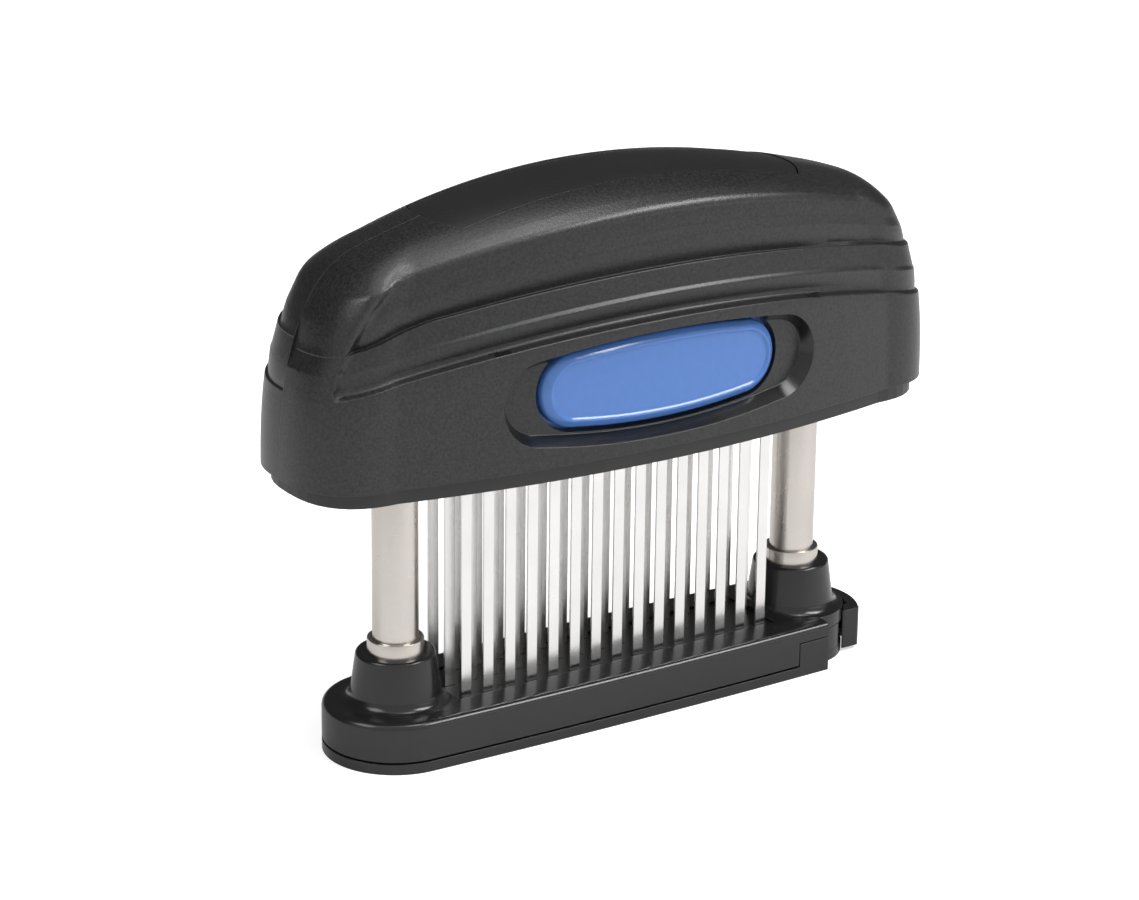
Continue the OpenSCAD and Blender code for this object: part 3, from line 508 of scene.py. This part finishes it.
# The skirt's bow: how far it draws in is the square of the distance over this
skirt_bow = 588.0
tip_half_y, tip_power = 17.7545, 2.55
# Heights in the middle of the length, and how fast each falls away toward the ends
handle_base, shell_base, lip, ridge, valley, crown = 59.7, 62.9, 90.016, 94.878, 98.882, 116.9
arch_in, arch_rise, arch_power = 4.1, 18.018, 2.9
crown_fall, side_fall, straight_to = 0.0027, 0.00162, 64.0
# The groove's left end: where it stops, and the runs over which it, the band and the cove die away
pocket_x, pocket_run, band_run, cove_run, least_depth = 73.2, 1.6, 1.5, 10.0, 0.06
cove_from, cove_height = valley + 1.2, 16.0
# Toward the left end the band sinks and the ridge draws back; toward the right the groove gets shallower
sink_from, sink_run, band_sink = 52.0, 20.0, 2.0
deep_from, deep_run, deep_back, deep_share = 45.0, 25.0, 2.9, 0.7
leave_from, leave_run, leave_back, leave_band = 34.0, 36.0, 1.7, 1.3
level_from, level_run = 46.0, 20.0
seam_gap = 0.01


def plan_half_width(x):
    """Half width of the handle's plan at a distance from the middle."""
    u = np.abs(x)
    inner = half_y - u * u / skirt_bow
    far = np.maximum(0.0, u - end_from) / (tip_x - end_from)
    outer = tip_half_y * np.maximum(0.0, 1.0 - far ** tip_power) ** (1 / tip_power)
    return np.where(u <= end_from, inner, outer)


def reach(height, fall):
    """How far the ends reach at a height that falls away from the middle."""
    brow, power = 40.7, 2.5
    e = tip_x
    for _ in range(6):
        d = min(max(crown - height - (crown_fall - fall) * e * e, 0.0), brow) / brow
        e = corner_from + (tip_x - corner_from) * (1 - (1 - d) ** power) ** (1 / power)
    return e


def eased(points, radii, steps=5):
    """A polyline with its corners rounded by arcs."""
    path = [np.array(points[0])]
    for before, corner, after, r in zip(points, points[1:], points[2:], radii):
        corner = np.array(corner)
        a, b = np.array(before) - corner, np.array(after) - corner
        la, lb = np.linalg.norm(a), np.linalg.norm(b)
        a, b = a / la, b / lb
        half = math.acos(float(np.clip(a @ b, -1, 1))) / 2
        cut = min(r / math.tan(half), 0.45 * la, 0.45 * lb)
        bow = cut * math.tan(half)
        centre = corner + (a + b) / np.linalg.norm(a + b) * bow / math.sin(half)
        u, v = corner + a * cut - centre, corner + b * cut - centre
        sweep = math.acos(float(np.clip(u @ v / (np.linalg.norm(u) * np.linalg.norm(v)), -1, 1)))
        for t in np.linspace(0.0, 1.0, steps):
            path.append(centre + (math.sin((1 - t) * sweep) * u + math.sin(t * sweep) * v) / math.sin(sweep))
    path.append(np.array(points[-1]))
    return path


# The arch above the valley line, in from its set-back and up: a roll, a faint edge and a shallow flute
arch_side = eased([(0.5, 1.5), (0.3, 2.7), (0.05, 4.3), (0.0, 6.1), (0.5, 8.3), (0.6, 12.55), (3.6, 14.5)],
                  [3.0, 3.0, 1.2, 3.0, 2.9], steps=5)
arch_half = half_y - arch_in


def roof_share(y):
    """Height of the roof over the valley line, as a share, at a distance from the seam."""
    return 1.0 - 0.001353 * y ** 2.817 / arch_rise


def arch_fall(share):
    """How fast the arch falls away toward the ends, at a share of its height."""
    return side_fall + (crown_fall - side_fall) * max(0.0, share - 0.1) / 0.9


def arch_levels():
    """The arch above the valley line, as shares of its half width and of its height."""
    levels = [(1.0 - d / arch_half, z / arch_rise) for d, z in arch_side]
    last = arch_half - arch_side[-1][0]
    over = last * np.cos(np.linspace(0.0, math.pi / 2, 26)[1:])
    return levels + [(y / arch_half, roof_share(y)) for y in over]


def plain_arch(steps):
    """A plain arch, for the hollow."""
    turn = np.linspace(0.0, math.pi / 2, steps + 1)[1:]
    return [(max(0.0, math.cos(a)) ** (2 / arch_power), math.sin(a) ** (2 / arch_power)) for a in turn]


def softly(share):
    """A share of the way with soft ends."""
    share = np.clip(share, 0.0, 1.0)
    return share * share * (3 - 2 * share)


def handle_rows(side, stations, arch, off=0.0, drop=0.0):
    """Rows round the handle's form: up its side, then over its arch."""
    outside = off == 0.0
    levels = []
    for back, height in side:
        bowed = min(1.0, max(0.0, (height - straight_to) / (lip - 5.0 - straight_to)))
        levels.append((back, height, side_fall * bowed, 1.0))
    base = valley if outside else levels[-1][1]
    for narrow, s in arch:
        levels.append((arch_in, base + (crown - drop - base) * s, arch_fall(s), narrow))
    q = np.sin(np.linspace(-math.pi / 2, math.pi / 2, stations + 1))
    along = tip_x * q
    rows, highest = [], 0.0
    for back_by, height, fall, narrow in levels:
        highest = max(highest, height)
        over_band = min(1.0, max(0.0, (height - ridge) / (valley - ridge)))
        over_cove = min(1.0, max(0.0, (height - cove_from) / cove_height))
        run = pocket_run + band_run * over_band + cove_run * over_cove
        depth = np.maximum(least_depth, np.where(along > 0, 1.0, softly((pocket_x + along) / run)))
        back, lift = back_by, 0.0
        if outside and narrow == 1.0 and height > lip:
            if height > lip + 1.0:
                deeper = deep_share * (max(back_by, deep_back) - back_by)
                back = back + deeper * softly((-along - deep_from) / deep_run)
            shallower = max(0.0, back_by - leave_back - leave_band * over_band)
            back = back - shallower * softly((along - leave_from) / leave_run)
        if outside:
            sunk = band_sink * over_band * max(0.0, 1 - 3.0 * over_cove)
            lift = -sunk * softly((-along - sink_from) / sink_run)
        back = back * depth
        if outside and 1.0 - narrow < 0.05:
            narrow = 1.0 - (1.0 - narrow) * depth
        end_x = np.minimum(reach(height + drop * (1 - float(np.max(narrow))), fall), tip_x - back)
        x = (tip_x - off) / tip_x * q * end_x
        y = -plan_half_width(along) * (half_y - back - off) / half_y * narrow
        # the ledge over the band is level at the tips
        level = (highest - height) * softly((np.abs(along) - level_from) / level_run)
        front = np.stack([x, y, height - fall * x * x + lift + level], axis=1)
        rear = front[-2:0:-1] * (1.0, -1.0, 1.0)
        rows.append(np.concatenate([front, rear]))
    return rows


# The side's section, in from the skirt and up: lip, groove, ridge, flat band and ledge
groove_in = 3.1
side = eased([(0.0, lip - 3.0), (0.0, lip), (groove_in, lip + 0.5), (1.2, ridge - 0.1), (2.0, ridge + 0.65),
              (2.3, valley + 1.2), (arch_in + 0.5, valley + 0.75)], [0.35, 1.0, 0.5, 0.5, 0.25], steps=5)
skirt = [(0.0, z) for z in np.linspace(handle_base, lip - 5.0, 13)]
outer_rows = handle_rows(skirt + side, 176, arch_levels())
handle_shell = sheet_through("handle_moulding_front", outer_rows, round_about=True)
saw(handle_shell, (0.0, 0.0, shell_base), (0.0, 0.0, -1.0))
saw(handle_shell, (0.0, -seam_gap, 0.0), (0.0, 1.0, 0.0))

# The hollow, less a pad behind the button, two pads over the studs and two screw posts
side_wall, roof_wall = 2.4, 3.6
inside = [(0.0, z) for z in np.linspace(handle_base - 3.0, lip - 4.0, 5)]
inside += [(groove_in, lip - 1.0), (groove_in + 0.2, ridge - 1.0), (arch_in, valley - 1.6)]
cavity = sheet_through("cavity", handle_rows(inside, 48, plain_arch(9), side_wall, roof_wall), round_about=True)
carve(cavity, block("button_pad", (-41.2, -60.0, 50.0), (41.2, -17.4, 91.3)))
pad_r, post_r, screw_r, post_head, above, below = 6.1, 2.6, 1.0, 75.9, 130.0, 50.0
stud_head_z, off_seam = 104.6, 0.17
for x in (-column_x, column_x):
    carve(cavity, turned("stud_pad", [(pad_r, stud_head_z), (pad_r, above)], x, off_seam, around=47))
screw_places = ((-64.0, 4.2 - float(plan_half_width(64.0))), (36.0, -15.6))
for x, y in screw_places:
    carve(cavity, turned("screw_post", [(post_r, below), (post_r, post_head)], x, y, around=32))
    screw_hole = turned("screw_hole", [(screw_r, below), (screw_r, post_head - 3.0)], x, y, around=24)
    carve(cavity, screw_hole, "UNION")
carve(handle_shell, cavity)


button_z, scoop_z = 77.6, 76.6


def oval(a, b, y, count=28, bow=1.2, middle=button_z):
    """A bowed oval outline seen from the front, at a depth y that may follow x."""
    e = b - bow
    far = a - e
    r = (far * far + bow * bow) / (2 * bow)
    turn = np.linspace(-math.pi / 2, math.pi / 2, count + 1)
    ends = [(far + e * math.cos(t), e * math.sin(t)) for t in turn]
    top = [(x, b - r + math.sqrt(r * r - x * x)) for x in np.linspace(far, -far, 2 * count + 1)[1:-1]]
    line = ends + top
    line = line + [(-x, -z) for x, z in line]
    return [(x, y(x) if callable(y) else y, middle + z) for x, z in line]


# The scoop round each button, with a floor that is bowed as the skirt is
scoop_steps = [(39.6, 11.4, -26.0), (39.6, 11.4, -24.4), (39.25, 11.05, -23.7), (35.8, 7.6, -18.6)]
scoop_rows = [oval(a, b, y, middle=scoop_z) for a, b, y in scoop_steps]
scoop = sheet_through("scoop", scoop_rows, round_about=True)
scoop_floor = 21.2
bowed_floor = []
for x in np.linspace(-45.0, 45.0, 91):
    y = x * x / skirt_bow - scoop_floor
    bowed_floor.append([(x, y, below), (x, y, 95.0), (x, 5.0, 95.0), (x, 5.0, below)])
carve(scoop, sheet_through("scoop_floor", bowed_floor, round_about=True))
carve(handle_shell, scoop)
opening_rows = [oval(29.3, 10.1, y) for y in (-40.0, -2.0)]
carve(handle_shell, sheet_through("button_opening", opening_rows, round_about=True))
stud_seat = [(3.32, 90.0), (3.32, stud_head_z + 0.1), (5.02, stud_head_z + 0.2), (5.02, stud_head_z + 1.7)]
for x in (-column_x, column_x):
    carve(handle_shell, turned("stud_seat", stud_seat, x, around=48))


def roof(x, y):
    """Height of the handle's roof over a point of its plan."""
    e = tip_x
    for _ in range(5):
        wide = float(plan_half_width(tip_x * x / e)) / half_y
        s = roof_share(abs(y) / wide)
        height = valley + (crown - valley) * s
        fall = arch_fall(s)
        e = reach(height, fall)
    return height - fall * x * x


def roof_slab(name, over, under):
    """A slab that follows the roof between two depths, larger than the top insert."""
    ys = np.linspace(-12.0, 12.0, 25)
    rows = []
    for x in np.linspace(-46.0, 46.0, 93):
        line = [(x, y, roof(x, y)) for y in ys]
        rows.append([(x, y, z - over) for x, y, z in line] + [(x, y, z - under) for x, y, z in line[::-1]])
    return sheet_through(name, rows, round_about=True)


def insert_plan(name, grow):
    """The top insert's outline with bowed ends, stood up as a prism."""
    a, b = 43.6 + grow, 10.2 + grow
    ends = [(a - 3.1 * abs(t) ** 2.37, b * t) for t in np.sin(np.linspace(-math.pi / 2, math.pi / 2, 25))]
    line = [(x, y) for x, y in ends] + [(-x, -y) for x, y in ends]
    return sheet_through(name, [[(x, y, z) for x, y in line] for z in (90.0, 130.0)], round_about=True)


seat = roof_slab("insert_seat", -4.0, 2.02)
carve(seat, insert_plan("seat_plan", 0.25), "INTERSECT")
carve(handle_shell, seat)
# Slivers that the cuts leave are welded shut
sliver = 0.000004
bpy.ops.object.mode_set(mode="EDIT")
bpy.ops.mesh.select_all(action="SELECT")
bpy.ops.mesh.remove_doubles(threshold=sliver)
bpy.ops.mesh.dissolve_degenerate(threshold=sliver)
bpy.ops.mesh.select_all(action="DESELECT")
bpy.ops.object.mode_set(mode="OBJECT")
# The grain covers the shell, but the scoop's slanted walls are left polished by the mould, and their colour is
# painted darker as shade
handle_black = moulded_plastic("handle_black", (0.014, 0.014, 0.015), 0.32, 1700.0, 0.00004, fleck=0.5)
# painted shade: the scoop's walls get a darker black than the rest of the shell
scoop_gloss_and_shade = moulded_plastic("recess_gloss_painted_shade", (0.006, 0.006, 0.006), 0.2, 900.0, 0.000002)
dress(handle_black, "handle_shell_front", "handle_shell_rear", handle_shell)
handle_shell.data.materials.append(scoop_gloss_and_shade)
for face in handle_shell.data.polygons:
    x, y, z = (1000.0 * c for c in face.center)
    in_scoop = abs(x) < 39.7 and -24.3 < y < -18.0 and abs(z - scoop_z) < 11.5
    if in_scoop and y > x * x / skirt_bow - 23.8 and face.normal.y > -0.93:
        face.material_index = 1
handle_shell_rear = turned_half_round(handle_shell, "handle_moulding_rear")
settle(handle_shell, "handle", "handle_shell_front", slot="handle_black", smooth=32.0)
settle(handle_shell_rear, "handle", "handle_shell_rear", slot="handle_black", smooth=32.0)


# ---------------------------------------------------------------------------
# Top insert: a smooth black strip let into the crown over the shells' seam, which
# it holds together. Its long edges stand a hair under the arch.
top_insert = roof_slab("crown_insert", 0.2, 2.0)
carve(top_insert, insert_plan("insert_outline", 0.0), "INTERSECT")
rounding = top_insert.modifiers.new("edge", "BEVEL")
rounding.width, rounding.segments = 0.00035, 3
rounding.limit_method, rounding.angle_limit = "ANGLE", math.radians(50)
bpy.ops.object.select_all(action="DESELECT")
top_insert.select_set(True)
bpy.context.view_layer.objects.active = top_insert
bpy.ops.object.modifier_apply(modifier=rounding.name)
insert_black = moulded_plastic("insert_black", (0.010, 0.010, 0.011), 0.40, 1200.0, 0.000006)
dress(insert_black, "top_insert", top_insert)
settle(top_insert, "handle", "top_insert", slot="insert_black", smooth=32.0)


# ---------------------------------------------------------------------------
# Release buttons: two gloss blue mouldings in the skirt, each with a raised rim round
# a bare sunk face, a flange behind the opening and a catch plate over the cartridge.
button_front_y, button_half_x, button_half_z = 22.7, 28.3, 9.1


def button_row(inset, depth):
    """One outline of the button, drawn in from its side and back from its face."""
    front = button_front_y - depth
    return oval(button_half_x - inset, button_half_z - inset, lambda x: x * x / skirt_bow - front)


rim_section = eased([(0.0, 2.7), (0.0, 1.3), (1.75, 0.0), (2.35, 0.6), (3.3, 0.6)], [1.0, 0.35, 0.25])
button_rows = [oval(button_half_x, button_half_z, y) for y in (-15.8, -18.8)]
button_rows += [button_row(inset, depth) for inset, depth in rim_section]
face_edge = np.array(button_rows[-1])
for share in (0.75, 0.5, 0.25, 0.0):
    flat = face_edge.copy()
    flat[:, 2] = button_z + (flat[:, 2] - button_z) * share
    button_rows.append(flat)
button = sheet_through("blue_button_front", button_rows, round_about=True)
flange_rows = [oval(button_half_x + 2.0, button_half_z + 2.0, y) for y in (-17.35, -15.75)]
carve(button, sheet_through("flange", flange_rows, round_about=True), "UNION")
carve(button, block("catch_plate", (-14.0, -15.9, 73.22), (14.0, -4.5, 74.72)), "UNION")
for x in (-9.0, 9.0):
    carve(button, block("catch_window", (x - 2.4, -11.4, 60.0), (x + 2.4, -7.4, 90.0)))
# The light line along the rim is partly a painted highlight: the edges are painted a paler blue.
button_blue = moulded_plastic("button_blue", (0.075, 0.185, 0.50), 0.13, 600.0, 0.000002, edge_highlight_paint=0.05, fleck=0.02)
dress(button_blue, "release_button_front", "release_button_rear", button)
button_rear = turned_half_round(button, "blue_button_rear")
settle(button, "button_front", "release_button_front", slot="button_blue", smooth=40.0)
settle(button_rear, "button_rear", "release_button_rear", slot="button_blue", smooth=40.0)


# ---------------------------------------------------------------------------
# Floor, cartridge and bushes: the plain black floor that closes the handle, the black
# carrier and lid that hold the blades, and the nylon bushes that run on the columns.
floor_black = moulded_plastic("floor_black", (0.014, 0.014, 0.015), 0.45, 1800.0, 0.00001)
bush_nylon = moulded_plastic("bush_nylon", (0.72, 0.71, 0.67), 0.4, 1200.0, 0.00001)
dress(floor_black, "handle_floor", "blade_carrier", "carrier_lid")
dress(bush_nylon, "guide_bush_left", "guide_bush_right")
